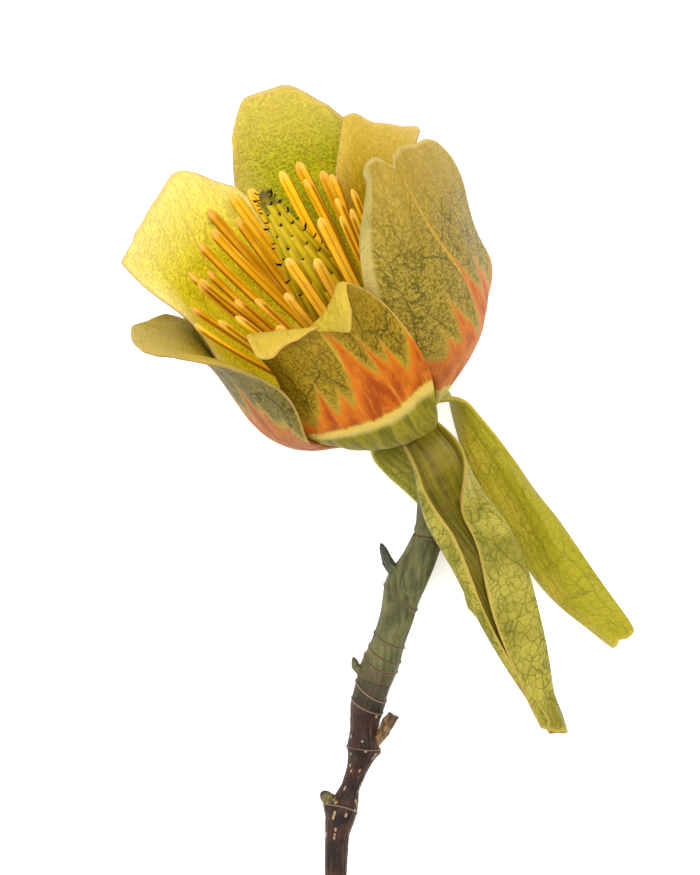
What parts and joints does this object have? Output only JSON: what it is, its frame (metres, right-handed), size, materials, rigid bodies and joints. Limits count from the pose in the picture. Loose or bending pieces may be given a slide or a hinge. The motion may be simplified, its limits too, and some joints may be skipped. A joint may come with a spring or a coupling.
{
  "type": "cut tulip tree flower on its twig",
  "caption": "Cut twig of a tulip tree with one open cup-shaped flower, turned-back sepals and a short length of leafless stem.",
  "frame": {"origin": "on the ground, below the middle of the whole cutting's box", "axes": "+Z up from the surface that the cutting lies on; +Y up the twig, from its cut end towards the flower; +X to the right as seen from above with +Y up"},
  "size_m": [0.0664, 0.1044, 0.0412],
  "materials": {
    "petal": "satin, yellow-green with cream margins and an orange band near the foot",
    "sepal": "satin, pale yellow-green with fine green veins",
    "anther": "matte ochre, with cream tips and orange stalks",
    "pistil": "satin yellow-green with small dark hooks",
    "green_shoot": "satin sage green, ridged",
    "brown_bark": "glossy dark brown with pale tan pores",
    "bud": "matte olive to tan"
  },
  "bodies": {
    "root": {"petal_front": "petal", "petal_right": "petal", "petal_back_right": "petal", "petal_back": "petal", "petal_back_left": "petal", "petal_left": "petal", "sepal_front": "sepal", "sepal_right": "sepal", "sepal_left": "sepal", "receptacle": "sepal", "pistil": "pistil", "stamen_01": "anther", "stamen_02": "anther", "stamen_03": "anther", "stamen_04": "anther", "stamen_05": "anther", "stamen_06": "anther", "stamen_07": "anther", "stamen_08": "anther", "stamen_09": "anther", "stamen_10": "anther", "stamen_11": "anther", "stamen_12": "anther", "stamen_13": "anther", "stamen_14": "anther", "stamen_15": "anther", "stamen_16": "anther", "stamen_17": "anther", "stamen_18": "anther", "stamen_19": "anther", "stamen_20": "anther", "stamen_21": "anther", "stamen_22": "anther", "stamen_23": "anther", "stamen_24": "anther", "stamen_25": "anther", "stamen_26": "anther", "stamen_27": "anther", "stamen_28": "anther", "stamen_29": "anther", "stamen_30": "anther", "stamen_31": "anther", "stamen_32": "anther", "flower_stalk": "green_shoot", "green_shoot": "green_shoot", "brown_twig": "brown_bark", "side_bud_upper": "bud", "side_bud_middle": "bud", "leaf_stub": "bud", "side_bud_lower": "bud"}
  },
  "joints": []
}
